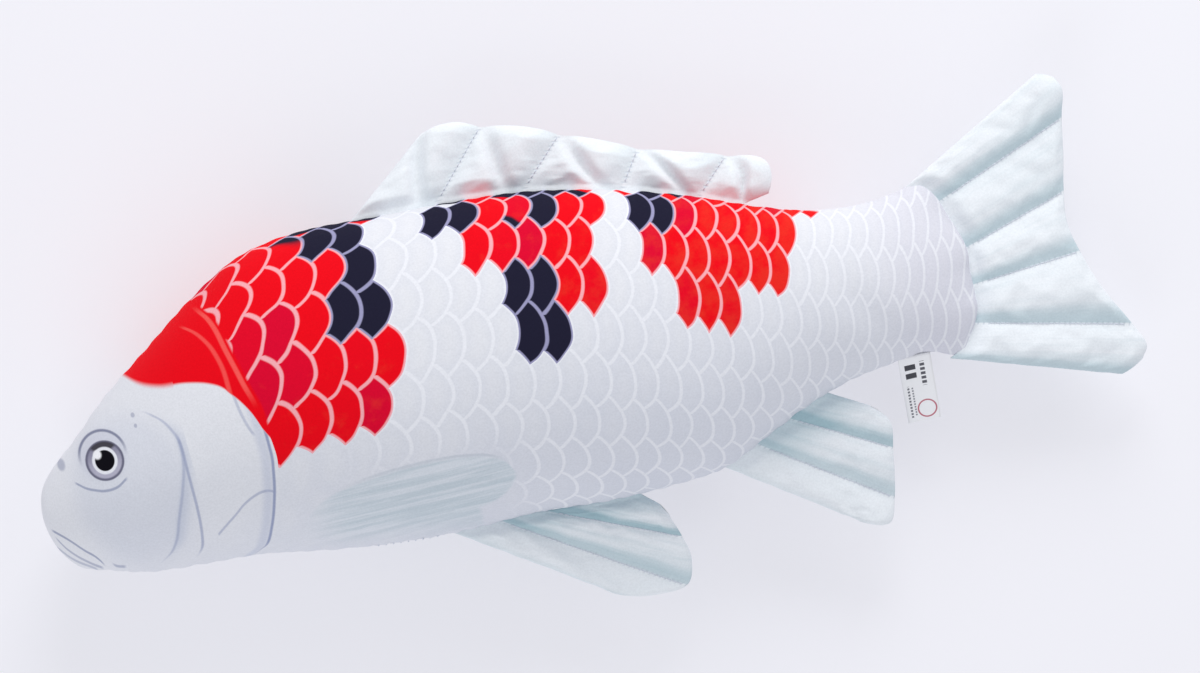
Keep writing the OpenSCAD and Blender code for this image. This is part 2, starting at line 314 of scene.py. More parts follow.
for v in body_cloth.verts:
    x, y, z = v.co.x / MM + CENTRE_X, v.co.y / MM + CENTRE_Y, v.co.z / MM
    on_seam = abs(z - seam_height(x)) < 0.05
    push = -0.9 if on_seam else ruffle(x, y, z)
    if z < 4:
        push = max(0, push) * 0.2
    v.co += v.normal * push * MM * smooth(x, 2, 30)
body = piece("plush_body", body_cloth)
print("body cloth gathered;", round(body.dimensions.z / MM), "mm high")

# %% [markdown]
# ## Letting the cloth settle
# Real plush looks soft because the filling pushes the cloth out while the seams hold it. Blender's cloth does
# the same: the seams are pinned, air pressure stands in for the filling, and the cloth is a little too big for
# its shape, so it buckles into small folds. The movement is capped, so that the fish keeps its size.

# %% Cloth simulation
def settle(obj, held, pressure, spare, frames, cap, stiff=15, bending=0.05):
    """Puffs obj up. held gives each corner's hold from 0 to 1, and spare how much too big the cloth is."""
    start = [v.co.copy() for v in obj.data.vertices]
    pins = obj.vertex_groups.new(name="held")
    for v in obj.data.vertices:
        pins.add([v.index], held(v), "REPLACE")
    cloth = obj.modifiers.new("settle", "CLOTH")
    s = cloth.settings
    s.quality, s.mass, s.air_damping = 6, 0.25, 2
    s.tension_stiffness = s.compression_stiffness = stiff
    s.shear_stiffness, s.bending_stiffness = stiff / 3, bending
    s.vertex_group_mass, s.pin_stiffness = pins.name, 1
    s.shrink_min = -spare
    s.use_pressure, s.uniform_pressure_force = True, pressure
    s.effector_weights.gravity = 0
    cloth.collision_settings.use_collision = False
    cloth.point_cache.frame_start, cloth.point_cache.frame_end = 1, frames
    for number in range(1, frames + 1):
        scene.frame_set(number)
    settled = obj.evaluated_get(bpy.context.evaluated_depsgraph_get()).data
    ends = [v.co.copy() for v in settled.vertices]
    obj.modifiers.remove(cloth)
    obj.vertex_groups.remove(pins)
    most = 0
    for v, a, b in zip(obj.data.vertices, start, ends):
        move = b - a
        far = move.length
        if far > cap:
            move *= cap * (2 - cap / far) / far if far < 4 * cap else cap * 1.75 / far
        most = max(most, move.length)
        v.co = a + move
    scene.frame_set(1)
    print(f"{obj.name}: moved up to {most / MM:.1f} mm")


def soften(obj, levels=1):
    """One round of subdivision, applied."""
    finer = obj.modifiers.new("finer", "SUBSURF")
    finer.levels = finer.render_levels = levels
    finer.uv_smooth = "PRESERVE_BOUNDARIES"
    mesh = bpy.data.meshes.new_from_object(obj.evaluated_get(bpy.context.evaluated_depsgraph_get()))
    obj.modifiers.remove(finer)
    old, obj.data = obj.data, mesh
    mesh.name = obj.name
    bpy.data.meshes.remove(old)


# %% Settle the body
def body_hold(v):
    """How firmly the simulation holds a point: fully at the seams and on the table, and well on the head."""
    x, z = v.co.x / MM + CENTRE_X, v.co.z / MM
    if abs(z - seam_height(x)) < 1.2 or z < 2.5:
        return 1.0
    return 0.45 + 0.55 * (1 - smooth(x, 6, 60))


settle(body, body_hold, pressure=2.0, spare=0.006, frames=12, cap=1.5 * MM)
soften(body)
for v in body.data.vertices:
    v.co.z = max(v.co.z, 0.0003)
print("body:", len(body.data.polygons), "faces")

# %% [markdown]
# ## Quilted fins
# A fin is two layers of plush with loose fibre between them, sewn through along a few lines that fan out from
# the root. Each fin is drawn as a fan of rays. Every other ray is a line of quilting. The grid's columns follow
# the rays and its rows run from the root to the tip, so that the quilting lines fall on columns.

# %% Rays of the four fins
def fan(rays, which=None):
    """Full rays, as root x, root y, tip x and tip y."""
    if which is None:
        return [(500 + 23 * math.sin(math.radians(turn)), -3.5 + 49.5 * math.cos(math.radians(turn)), tip_x, tip_y)
                for turn, tip_x, tip_y in rays]
    line, gap = which
    return [(root, line(root) + gap, tip_x, tip_y) for root, tip_x, tip_y in rays]


FINS = {
    "dorsal_fin": dict(
        rays=fan([(205, 254, 144), (228, 270, 144), (252, 285, 138), (275, 306, 131), (299, 325, 122),
                  (324, 345, 113), (350, 364, 104), (370, 386, 95), (389, 409, 87), (403, 428, 78),
                  (413, 428, 60)], (back_y, 1.5)),
        hinge=(317, 97.5, -13.2), droop=-12, height=50, pad=4.8, scallop=1.8),
    "tail_fin": dict(
        rays=fan([(0, 585, 87), (22, 596, 76), (43, 592, 59), (63, 588, 39), (81, 583, 20), (93, 580, 3),
                  (105, 582, -14), (118, 589, -37), (133, 600, -60), (153, 605, -75), (180, 589, -86)]),
        hinge=(516, 0, 90), droop=7, height=43, pad=4.6),
    "pelvic_fin": dict(
        rays=fan([(215, 290, -130), (228, 309, -136), (242, 328, -136), (255, 334, -121), (268, 332, -107),
                  (294, 329, -97), (318, 326, -88)], (belly_y, -1.5)),
        hinge=(268, -80, -2), droop=14, height=50, pad=3.8),
    "anal_fin": dict(
        rays=fan([(365, 429, -127), (375, 444, -132), (385, 450, -119), (395, 453, -105), (406, 455, -91),
                  (419, 457, -77), (430, 450, -66)], (belly_y, -1.5)),
        hinge=(398, -72, 21), droop=12, height=50, pad=3.8)}
ACROSS, ALONG = 7, 34            # columns between two rays, and rows from root to tip
TUCK = 5.5                       # how far a fin's root goes into the body's seam
FLAT = 0.8                       # half the thickness of a fin along its quilting lines
CORNER_CUT, CORNER_SPAN = 3.2, 0.7      # how round a fin's free corners are, in millimetres and in rays


def hang(fin, p):
    """Turns a flat fin down about its hinge line and lifts it to the seam."""
    hx, hy, turn = fin["hinge"]
    a, d = math.radians(turn), math.radians(fin["droop"])
    along = (p.x - hx) * math.cos(a) + (p.y - hy) * math.sin(a)
    out = (p.y - hy) * math.cos(a) - (p.x - hx) * math.sin(a)
    out, up = out * math.cos(d) - p.z * math.sin(d), out * math.sin(d) + p.z * math.cos(d)
    return world(hx + along * math.cos(a) - out * math.sin(a), hy + along * math.sin(a) + out * math.cos(a),
                 fin["height"] + up)


def fin_cloth(name, fin):
    rays = fin["rays"]
    cols = (len(rays) - 1) * ACROSS

    def spot(i, j):
        r = spline(rays, min(i // ACROSS, len(rays) - 2), i / ACROSS - min(i // ACROSS, len(rays) - 2))
        root, tip = Vector((r[0], r[1], 0)), Vector((r[2], r[3], 0))
        way = (tip - root).length
        share = (j / ALONG) ** 0.95
        on_line = 1 - math.sin(math.pi * (i % (2 * ACROSS)) / (2 * ACROSS))
        corner = max(0, 1 - min(i, cols - i) / ACROSS / CORNER_SPAN)
        reach = 1 - (fin.get("scallop", 0) * on_line ** 2 * (0 < i < cols) + CORNER_CUT * corner ** 2) / way
        return root, tip, way, -TUCK / way + (reach + TUCK / way) * share

    def layer(side):
        def place(i, j):
            root, tip, way, v = spot(i, j)
            p = root + (tip - root) * v
            across = (i % (2 * ACROSS)) / (2 * ACROSS)
            edge = min(i, cols - i) / ACROSS
            shape = math.sin(math.pi * across) ** 0.7 if 0 < i < cols else 0
            swell = shape * smooth(v * way, 1, 9) ** 0.5 * smooth((1 - v) * way, 0, 9) ** 0.5
            rim = min(1, edge * 2.2) ** 0.6 * min(1, max(0, (1 - v) * way / 3)) ** 0.5 * min(1, j / 2)
            gather = noise.noise(Vector((i / cols * 24, v * way / 9, side * 3)))
            swell *= 1 + 0.15 * gather - fin_crease(name, across, v)
            p.z = side * (FLAT * rim + fin["pad"] * swell)
            p.z += fin_wave(name, i / cols, v) - 2.2 * fin_crease(name, across, v)
            return hang(fin, p)

        def ray(i, j):
            root, tip, way, v = spot(i, j)
            return i / ACROSS, v * way / 10

        return cloth_grid(cols, ALONG, place, {"rays": ray})

    return sew([layer(1), layer(-1)]), cols


def fin_wave(name, share, v):
    """A lazy wave that lifts and drops the free edge, in millimetres."""
    if name == "tail_fin":
        return 2.2 * max(0, v) ** 2 * math.sin(2 * math.pi * (share * 1.6 + 0.15))
    if name == "dorsal_fin":
        return 1.6 * max(0, v) * math.sin(2 * math.pi * (share * 1.9 + 0.6))
    return 1.8 * max(0, v) ** 2 * math.sin(2 * math.pi * (share * 1.2 + 0.35))


def fin_crease(name, across, v):
    """How much of a pad's swell a slanting crease takes away. Only the back fin is creased."""
    if name != "dorsal_fin":
        return 0
    return 1.15 * math.exp(-((across / 0.75 + v - 1.05) / 0.1) ** 2) * math.sin(math.pi * across) ** 0.5


print("fins:", ", ".join(FINS))

# %% Sew and puff up the fins
def make_fin(name, fin):
    bm, cols = fin_cloth(name, fin)
    obj = piece(name + "_cloth", bm)
    ray_map = obj.data.uv_layers["rays"].data
    across, along = {}, {}
    for loop in obj.data.loops:
        across[loop.vertex_index], along[loop.vertex_index] = ray_map[loop.index].uv
    tips = {}
    for v in obj.data.vertices:
        tips.setdefault(round(across[v.index], 3), []).append(along[v.index])
    tips = {key: max(values) for key, values in tips.items()}
    last = len(fin["rays"]) - 1

    def hold(v):
        a, b = across[v.index], along[v.index]
        quilted = abs(a / 2 - round(a / 2)) < 0.01
        if quilted or b <= 0.15 or a < 0.01 or a > last - 0.01 or b > tips[round(a, 3)] - 0.01:
            return 1.0
        return 0.02

    settle(obj, hold, pressure=3.0, spare=0.014, frames=16, cap=2.2 * MM, stiff=12, bending=1.5)
    lines = [sorted(((along[v.index], v.co.copy(), v.normal.copy()) for v in obj.data.vertices
                     if abs(across[v.index] - 2 * n) < 0.01 and v.normal.z * side > 0.2), key=lambda s: s[0])
             for n in range(1, last // 2) for side in (1, -1)]
    soften(obj)
    print(name, len(obj.data.polygons), "faces,", len(lines), "lines of stitches")
    return obj, lines


fin_pieces = {name: make_fin(name, fin) for name, fin in FINS.items()}

# %% [markdown]
# ## Stitches
# The quilting is a lockstitch of fine thread, 3 mm a stitch. Each stitch is a tiny rod with six sides that lies
# on the cloth, in the groove of its quilting line. There are hundreds of them, so each one stays simple.

# %% Quilting stitches
THREAD = 0.3 * MM                # radius of the thread
STITCH = 0.3                     # length of a stitch and its gap, in centimetres, as the fins' maps count


def add_stitch(bm, a, b, radius=THREAD):
    """A short round-ended rod from a to b."""
    run = b - a
    rod = bmesh.ops.create_cone(bm, segments=6, radius1=radius, radius2=radius, depth=run.length, cap_ends=True)
    turn = Vector((0, 0, 1)).rotation_difference(run).to_matrix()
    bmesh.ops.rotate(bm, verts=rod["verts"], matrix=turn)
    bmesh.ops.translate(bm, verts=rod["verts"], vec=(a + b) / 2)


def quilting(name, cloth, lines):
    bm = bmesh.new()
    for line in lines:
        points = []
        for way, co, normal in line:
            _, on_cloth, out, _ = cloth.closest_point_on_mesh(co + normal * 0.4 * MM)
            points.append((way, on_cloth + out * 0.12 * MM))
        points = [p for p in points if p[0] > 0.2]
        if len(points) < 3:
            continue
        at, end = STITCH * math.ceil(points[0][0] / STITCH), points[-1][0] - STITCH
        while at < end:
            ends = []
            for goal in (at, at + 0.7 * STITCH):
                for (wa, pa), (wb, pb) in zip(points, points[1:]):
                    if wa <= goal <= wb and wb > wa:
                        ends.append(pa.lerp(pb, (goal - wa) / (wb - wa)))
                        break
            if len(ends) == 2:
                add_stitch(bm, *ends)
            at += STITCH
    obj = piece(name + "_stitches", bm)
    print(obj.name, len(obj.data.polygons) // 8, "stitches")
    return obj


stitch_pieces = {name: quilting(name, obj, lines) for name, (obj, lines) in fin_pieces.items()}

# %% [markdown]
# ## The ribbon label
# A strip of satin ribbon, folded in two, with both ends sewn into the belly seam. It is one sheet bent round the
# fold. A Solidify modifier gives it the thickness of ribbon.

# %% Folded ribbon
RIBBON_W, RIBBON_L, LEAF_GAP = 18, 40, 0.75      # width, folded length, and distance between the two leaves
STRAIGHT, BEND = RIBBON_L - LEAF_GAP / 2, math.pi * LEAF_GAP / 2
RIBBON_CUT = 2 * STRAIGHT + BEND
LABEL_ROOT, LABEL_TURN, LABEL_DROOP = (478, -44.5, 46.2), math.radians(-3), math.radians(25)


def ribbon_at(across, way):
    """across runs over the width. way runs from one sewn end, round the fold, to the other."""
    if way <= STRAIGHT:
        y, z = -way, LEAF_GAP / 2
    elif way >= STRAIGHT + BEND:
        y, z = way - RIBBON_CUT, -LEAF_GAP / 2
    else:
        t = (way - STRAIGHT) / (LEAF_GAP / 2)
        y, z = -STRAIGHT - LEAF_GAP / 2 * math.sin(t), LEAF_GAP / 2 * math.cos(t)
    z += 0.5 * math.sin(math.pi * y / RIBBON_L) * math.sin(math.pi * across / RIBBON_W) * (1 + 0.4 * (z > 0))
    y, z = y * math.cos(LABEL_DROOP) - z * math.sin(LABEL_DROOP), y * math.sin(LABEL_DROOP) + z * math.cos(LABEL_DROOP)
    x = across - RIBBON_W / 2
    x, y = x * math.cos(LABEL_TURN) - y * math.sin(LABEL_TURN), x * math.sin(LABEL_TURN) + y * math.cos(LABEL_TURN)
    return world(LABEL_ROOT[0] + x, LABEL_ROOT[1] + y, LABEL_ROOT[2] + z)


leaf = [STRAIGHT * n / 24 for n in range(25)]
ways = leaf + [STRAIGHT + BEND * n / 6 for n in range(1, 6)] + [RIBBON_CUT - way for way in reversed(leaf)]
label_bm = cloth_grid(12, len(ways) - 1, lambda i, j: ribbon_at(i * RIBBON_W / 12, ways[j]),
                      {"ribbon": lambda i, j: (i * RIBBON_W / 12, ways[j])})
bmesh.ops.recalc_face_normals(label_bm, faces=label_bm.faces[:])
label = piece("ribbon_label", label_bm)
thick = label.modifiers.new("thickness", "SOLIDIFY")
thick.thickness, thick.offset = 0.35 * MM, 0
print(f"ribbon cut: {RIBBON_W} x {RIBBON_CUT:.0f} mm")

# %% [markdown]
# ## Writing a material as arithmetic
# A printed pattern is a sum: how far is this point from a line, and is it inside a patch? `Wire` wraps the output
# of one shader node, so that such sums can be written as sums. `Recipe` holds one material. Its `node` method
# adds any node: first its settings, then what is plugged into it.

# %% Wires and recipes
class Wire:
    """One node's output. Arithmetic on it adds Math nodes."""

    def __init__(self, recipe, socket):
        self.recipe, self.socket = recipe, socket

    def maths(self, kind, *terms):
        return self.recipe.node("ShaderNodeMath", {"operation": kind}, dict(enumerate(terms)))

    def __add__(self, other):
        return self.maths("ADD", self, other)

    def __sub__(self, other):
        return self.maths("SUBTRACT", self, other)

    def __mul__(self, other):
        return self.maths("MULTIPLY", self, other)

    def __truediv__(self, other):
        return self.maths("DIVIDE", self, other)

    def __pow__(self, other):
        return self.maths("POWER", self, other)

    def __rsub__(self, other):
        return self.maths("SUBTRACT", other, self)

    __radd__, __rmul__ = __add__, __mul__

    def floor(self):
        return self.maths("FLOOR", self)

    def fract(self):
        return self.maths("FRACT", self)

    def size(self):
        return self.maths("ABSOLUTE", self)

    def low(self, other):
        return self.maths("MINIMUM", self, other)

    def high(self, other):
        return self.maths("MAXIMUM", self, other)

    def under(self, other):
        return self.maths("LESS_THAN", self, other)

    def rise(self, start, end):
        """0 before start and 1 after end, with a smooth step between them."""
        return self.recipe.node("ShaderNodeMapRange", {"interpolation_type": "SMOOTHSTEP"}, {0: self, 1: start, 2: end})

    def fall(self, start, end):
        return 1 - self.rise(start, end)


class Recipe:
    """One material, and the few kinds of marks that its print is made of."""

    def __init__(self, name):
        self.material = bpy.data.materials.new(name)
        self.material.use_nodes = True
        self.tree = self.material.node_tree
        self.shader = self.tree.nodes["Principled BSDF"]

    def node(self, kind, settings=None, sockets=None, out=0):
        added = self.tree.nodes.new(kind)
        for key, value in (settings or {}).items():
            if key == "points":
                curve = added.mapping.curves[0]
                curve.points[0].location, curve.points[1].location = value[0], value[-1]
                for x, y in value[1:-1]:
                    curve.points.new(x, y)
                for point in curve.points:
                    point.handle_type = "AUTO_CLAMPED"
                added.mapping.update()
            else:
                setattr(added, key, value)
        for key, value in (sockets or {}).items():
            self.plug(added.inputs[key], value)
        return Wire(self, added.outputs[out])

    def plug(self, socket, value):
        if isinstance(value, Wire):
            self.tree.links.new(value.socket, socket)
        else:
            socket.default_value = value

    def finish(self, **sockets):
        for name, value in sockets.items():
            self.plug(self.shader.inputs[name.replace("_", " ")], value)
        return self.material

    def map(self, name):
        """The two numbers that one of the mesh's maps holds."""
        both = self.node("ShaderNodeUVMap", {"uv_map": name})
        first = self.node("ShaderNodeSeparateXYZ", None, {0: both})
        return first, Wire(self, first.socket.node.outputs[1])

    def point(self, x, y, z=0):
        return self.node("ShaderNodeCombineXYZ", None, {0: x, 1: y, 2: z})

    def noise(self, where, scale, detail=2, roughness=0.5):
        """Cloudy noise, from about 0.2 to about 0.8."""
        return self.node("ShaderNodeTexNoise", None, {"Vector": where, "Scale": scale, "Detail": detail,
                                                      "Roughness": roughness})

    def mix(self, share, a, b, way="MIX"):
        return self.node("ShaderNodeMix", {"data_type": "RGBA", "blend_type": way}, {0: share, 6: a, 7: b}, out=2)

    def oval(self, where, centre, radii):
        """The distance from the centre of an oval, as 1 on its rim."""
        shrink = (1 / radii[0], 1 / radii[1], 0)
        off = self.node("ShaderNodeVectorMath", {"operation": "SUBTRACT"}, {0: where, 1: (*centre, 0)})
        scaled = self.node("ShaderNodeVectorMath", {"operation": "MULTIPLY"}, {0: off, 1: shrink})
        return self.node("ShaderNodeVectorMath", {"operation": "LENGTH"}, {0: scaled}, out=1)

    def curve(self, along, points):
        """The height of a smooth line through points, at a place along it."""
        start, run = points[0][0], points[-1][0] - points[0][0]
        low = min(p[1] for p in points)
        rise = max(p[1] for p in points) - low
        spots = [((x - start) / run, (y - low) / rise) for x, y in points]
        return self.node("ShaderNodeFloatCurve", {"points": spots}, {1: (along - start) / run}) * rise + low

    def stroke(self, along, across, points, half, soft=0.7, fade=3):
        """A painted line through points, 2 * half wide, that fades out at both ends."""
        off = (across - self.curve(along, points)).size()
        return off.fall(half, half + soft) * along.rise(points[0][0], points[0][0] + fade) * \
            along.fall(points[-1][0] - fade, points[-1][0])


def ink(r, g, b):
    """A colour as it looks on a screen, from 0 to 255, as the renderer wants it."""
    def line(c):
        c /= 255
        return c / 12.92 if c <= 0.04045 else ((c + 0.055) / 1.055) ** 2.4
    return (line(r), line(g), line(b), 1.0)


CLOTH, SHADE = ink(235, 236, 240), ink(221, 224, 233)
RED, CRIMSON, ORANGE, BLACK = ink(244, 8, 26), ink(218, 6, 56), ink(238, 62, 42), ink(33, 32, 52)
PINK, LAVENDER, LINE = ink(255, 184, 190), ink(166, 164, 200), ink(247, 248, 252)
BAND, PENCIL = ink(255, 92, 88), ink(160, 168, 196)
print("colours ready")

# %% [markdown]
# ## Plush
# Short plush is matt. Its pile stands up in tiny tufts, which a fine bump shows, and each tuft is a little lighter
# or darker than the next.

# %% Surface of the plush
def plush(r, colour, pile=0.25, relief=0.0):
    """Ends a recipe with this colour. pile is how rough the cloth feels, and relief raises or sinks it."""
    where = r.node("ShaderNodeTexCoord", out=3)
    tufts = r.noise(where, 900, 2, 0.6)
    drift = r.noise(where, 60, 3, 0.5)
    height = tufts * 0.6 + drift * 1.5 + relief
    bump = r.node("ShaderNodeBump", None, {"Strength": pile, "Distance": 0.0006, "Height": height})
    tone = r.mix(1.0, colour, r.mix(tufts.rise(0.25, 0.75), ink(247, 247, 247), ink(255, 255, 255)), "MULTIPLY")
    return r.finish(Base_Color=tone, Roughness=0.85, Specular_IOR_Level=0.06, Normal=bump)


# %% [markdown]
# ## Where the colours are
# A koi's colours come in patches. The print paints them scale by scale: each scale takes the colour that its own
# centre has, so a patch ends along the round edges of scales. Outlines are drawn on the side view in
# millimetres. The red patches hang from the back, so one curve gives their lower edge.

# %% Patches of colour
RED_EDGE = [(55, 70), (62, 58), (80, 46), (94, 44), (109, 39), (117, 31), (124, 20), (130, 5), (139, -6),
            (155, -10), (171, -11), (185, -7), (197, 2), (205, 16), (210, 34), (214, 64), (216, 110),
            (262, 110), (264, 72), (274, 59), (293, 44), (298, 35), (304, 29), (312, 28), (320, 31),
            (327, 45), (333, 62), (338, 77), (341, 110), (352, 100), (353, 60), (357, 33), (364, 17),
            (376, 6), (386, 2), (397, 6), (411, 8), (425, 17), (433, 38), (440, 46), (452, 47)]
BLACK_SPOTS = [((198, 59), (18, 28)), ((191, 101), (25, 10)), ((254, 91), (14, 13)), ((310, 96), (28, 7)),
               ((287, 34), (14.5, 27.5)), ((310, 88), (9, 7)), ((365, 70), (11, 18))]
GILL_EDGE = [(-54, 109), (-51, 115), (-44, 119), (-31, 124), (-15, 128), (-3, 129.5), (12, 129.5), (37, 125),
             (55, 121), (69, 118), (80, 112), (90, 104)]


def is_red(r, x, y, soft):
    """1 inside the red patches. The edge is soft by so many millimetres."""
    edge = r.curve(x, RED_EDGE)
    return (y - edge).rise(-soft, soft) * x.fall(452, 454)


def is_black(r, x, y, soft):
    where = r.point(x, y)
    nearest = None
    for centre, radii in BLACK_SPOTS:
        inside = r.oval(where, centre, radii)
        nearest = inside if nearest is None else nearest.low(inside)
    return nearest.fall(1 - soft, 1 + soft)


def bare_cloth(r, x, y):
    """White plush, greyer down the flank, with faint clouds. The greying is partly the print's own grey and partly
    painted shade, where the lower flank turns away from the light.
    """
    clouds = r.noise(r.point(x, y), 0.035, 3, 0.55)
    # partly print and partly painted shade: the lower flank and the middle of the body are darkened, as if turned away
    # from the light
    depth = (y * -0.006 - ((x - 330) * 0.001).size() + clouds * 0.5 + 0.13).rise(0, 1)
    return r.mix(depth, CLOTH, SHADE)


print(len(RED_EDGE), "points on the red edge,", len(BLACK_SPOTS), "black spots")

# %% [markdown]
# ## Scales
# Each scale is drawn by its rounded rear edge, a bow that bulges towards the tail. Every other row is shifted by
# half a scale, as on a real fish. A bow ends where it meets the bows of the rows next to it, so it is drawn only
# over part of its height. A point belongs to the scale whose edge is next towards the tail.

# %% Scale edges and the scale that a point belongs to
BOW_AT, BOW_HALF, BOW_DEPTH = 0.475, 0.33, 0.66      # middle, half height and depth of a bow, in counts


def scales(r, x, y):
    """The distance to the nearest edge in line widths, the centre of the point's own scale, and its number."""
    u, v = r.map("scales")
    length, height = r.map("steps")
    drop, slide = r.map("lean")
    wobble = r.noise(r.point(x, y, 2), 0.045, 1) * 0.22 - 0.11
    u, v = u + wobble, v + wobble * 0.6
    found = []
    for half in (0, 0.5):
        way = (v + half).fract()
        t = (way - BOW_AT) / BOW_HALF
        slip = u - half - 0.5 + BOW_DEPTH * t.size() ** 2.2
        gap = slip.fract()
        slope = BOW_DEPTH * 2.2 / BOW_HALF * t.size() ** 1.2 * length / height
        hidden = t.size().rise(0.97, 1.03)
        far = gap.low(1 - gap) * length / (1 + slope * slope) ** 0.5 + hidden * 20
        found.append((far, 1 - gap + hidden * 9, slip.floor() + (1.0 + half), (v + half).floor() + (BOW_AT - half)))
    (far, ahead, cu, cv), (far_b, ahead_b, cu_b, cv_b) = found
    other = ahead_b.under(ahead)
    cu, cv = cu + other * (cu_b - cu), cv + other * (cv_b - cv)
    px = x + (cu - u) * length + (cv - v) * slide
    return far.low(far_b) / (0.4 + 0.04 * length), px, y + (cv - v) * drop, r.point(cu, cv)


# %% [markdown]
# ## The flank print
# Layers go on in the order that a screen printer would use: cloth, patches, scale edges, gill, and the fin that
# is only printed, not sewn.

# %% Flank material
def flank_print():
    r = Recipe("printed_plush_flank")
    x, y = r.map("flank")
    cloth = bare_cloth(r, x, y)
    edge, px, py, cell = scales(r, x, y)
    behind = x - r.curve(y, GILL_EDGE)                       # millimetres behind the gill cover
    scaly = behind.rise(1, 3)
    sx, sy = x + scaly * (px - x), y + scaly * (py - y)
    red, black = is_red(r, sx, sy, 1.0), is_black(r, sx, sy, 0.02)
    black = black * scaly
    odd = r.node("ShaderNodeTexWhiteNoise", {"noise_dimensions": "2D"}, {"Vector": cell})
    clouds = r.noise(r.point(x, y, 7), 0.11, 3, 0.6)
    warm = r.mix(odd.rise(0.62, 0.9) * scaly * 0.7, RED, CRIMSON)
    warm = r.mix((clouds + (x - 120) * 0.0012 - y * 0.0022).rise(0.55, 0.95) * 0.5, warm, ORANGE)
    inner = (edge * -1).rise(-7, -1) * 0.5                  # each scale is a little deeper near its edge
    white = r.mix(inner * scaly * 0.55, cloth, SHADE)
    tailward = x.rise(455, 500)
    white = r.mix(tailward * 0.35, white, ink(218, 215, 229))
    colour = r.mix(red, white, warm)
    colour = r.mix(black, colour, BLACK)
    faint = 1 - x.fall(235, 275) * y.fall(-38, -18)         # no scales behind the printed fin
    line = edge.fall(0.55, 1.35) * scaly
    on_white = line * 0.66 * faint * behind.rise(30, 70).high(red)
    line_colour = r.mix(black, r.mix(red, LINE, PINK), LAVENDER)
    strength = on_white.high(line * red.high(black) * 0.92)
    colour = r.mix(strength, colour, line_colour)
    colour = pectoral_print(r, x, y, colour)
    colour = gill_print(r, x, y, behind, red, colour)
    return plush(r, colour)


def gill_print(r, x, y, behind, red, colour):
    """Two broad light bands where the gill cover is red, and thin pencil lines where it is white."""
    rim = (behind + 1.2).size().fall(0.7, 1.9) * y.fall(76, 84)
    ridge = r.stroke(y, x, [(6, 123), (15, 120), (26, 118), (40, 117)], 0.3, 1.0)
    bands = rim.high(r.stroke(y, x, [(30, 116), (40, 116), (54, 114), (65, 109), (75, 99)], 0.5, 1.3) * 0.8)
    soft = (behind + 4).size().fall(0.5, 5) * behind.under(0) * y.fall(20, 50)
    colour = r.mix(soft * 0.45 * (1 - red), colour, ink(190, 197, 218))
    pencil = (behind + 0.6).size().fall(0.3, 1.3).high(ridge * 0.5) * (1 - red) * y.rise(-56, -50)
    colour = r.mix(pencil, colour, PENCIL)
    flap = r.stroke(x, y, [(88, -41), (100, -33), (113, -25), (120, -23.5), (127, -26)], 0.25, 0.9)
    colour = r.mix(flap * 0.6, colour, PENCIL)
    return r.mix(bands * red * y.rise(20, 36), colour, BAND)


def pectoral_print(r, x, y, colour):
    """A side fin that is only printed, with soft rays."""
    top = r.curve(x, [(134, -46), (160, -33), (194, -30.5), (211, -31), (233, -34), (247, -39), (254, -48)])
    under = (top - y).rise(0, 2.2)
    tip = r.oval(r.point(x, y), (230, -47), (24, 15)).fall(0.93, 1.06)
    fin = under * (x.fall(228, 232).high(tip)) * x.rise(128, 165) * (y + 0.16 * x).rise(-42, -26)
    rays = r.noise(r.point(x * 0.012, (y + x * 0.03) * 0.35), 1, 4, 0.6)
    tint = r.mix(rays.rise(0.36, 0.66), ink(198, 211, 218), ink(225, 231, 237))
    colour = r.mix(fin * 0.85, colour, tint)
    brim = (top - y).size().fall(0.2, 1.2) * x.rise(150, 190) * x.fall(240, 254)
    return r.mix(brim * 0.35, colour, ink(176, 188, 198))


flank_material = flank_print()
print("flank print:", len(flank_material.node_tree.nodes), "nodes")

# %% [markdown]
# ## The face
# The face is its own material, for the part of the body ahead of the gill cover. The eye is a stack of ovals.
# The cheek, mouth and lids are single painted strokes.

# %% Head material
def face_print():
    r = Recipe("printed_plush_head")
    x, y = r.map("flank")
    where = r.point(x, y)
    cloth = bare_cloth(r, x, y)
    cloth = r.mix(r.oval(where, (52, -4), (34, 44)).fall(0.7, 1.15) * 0.35, cloth, ink(205, 210, 224))
    colour = r.mix(is_red(r, x, y, 2.2), cloth, RED)
    cheek = [(-47, 48), (-45, 58), (-38, 66.5), (-25, 72), (-10, 78), (4, 82), (13, 82.5), (22, 80), (33, 71), (37, 65)]
    off = x - r.curve(y, cheek)
    shade = off.rise(-3, 0.5) * off.fall(0.5, 8) * y.rise(-46, -36) * y.fall(12, 34)
    colour = r.mix(shade * 0.45, colour, ink(190, 198, 217))
    colour = r.mix(r.stroke(y, x, cheek, 0.2, 1.2, 6) * 0.5, colour, PENCIL)
    plate = [(-49, 72), (-46, 78), (-39.5, 81), (-21, 82.7), (-2.5, 82.8), (10, 83), (20, 82)]
    colour = r.mix(r.stroke(y, x, plate, 0.3, 0.9, 6) * 0.7, colour, PENCIL)
    for line, strength in (([(3, -13), (11, -21), (18, -29), (23, -34), (27, -40)], 0.8),
                           ([(4, -17), (10, -27), (19, -36), (26, -41)], 0.6),
                           ([(3, -22), (11, -32), (23, -41)], 0.5), ([(30, -39), (33, -41.5), (38, -43)], 0.6),
                           ([(22, 8), (32, 1), (40, -1), (51, 3)], 0.75)):
        colour = r.mix(r.stroke(x, y, line, 0.25, 0.9, 2) * strength, colour, ink(146, 154, 182))
    for spot, radii in (((62, 35), (1.0, 1.3)), ((62, 29), (0.8, 1.1)), ((18, 19), (2.0, 3.2))):
        colour = r.mix(r.oval(where, spot, radii).fall(0.7, 1.4) * 0.7, colour, ink(166, 170, 190))
    return plush(r, eye_print(r, where, y, colour), pile=0.2)


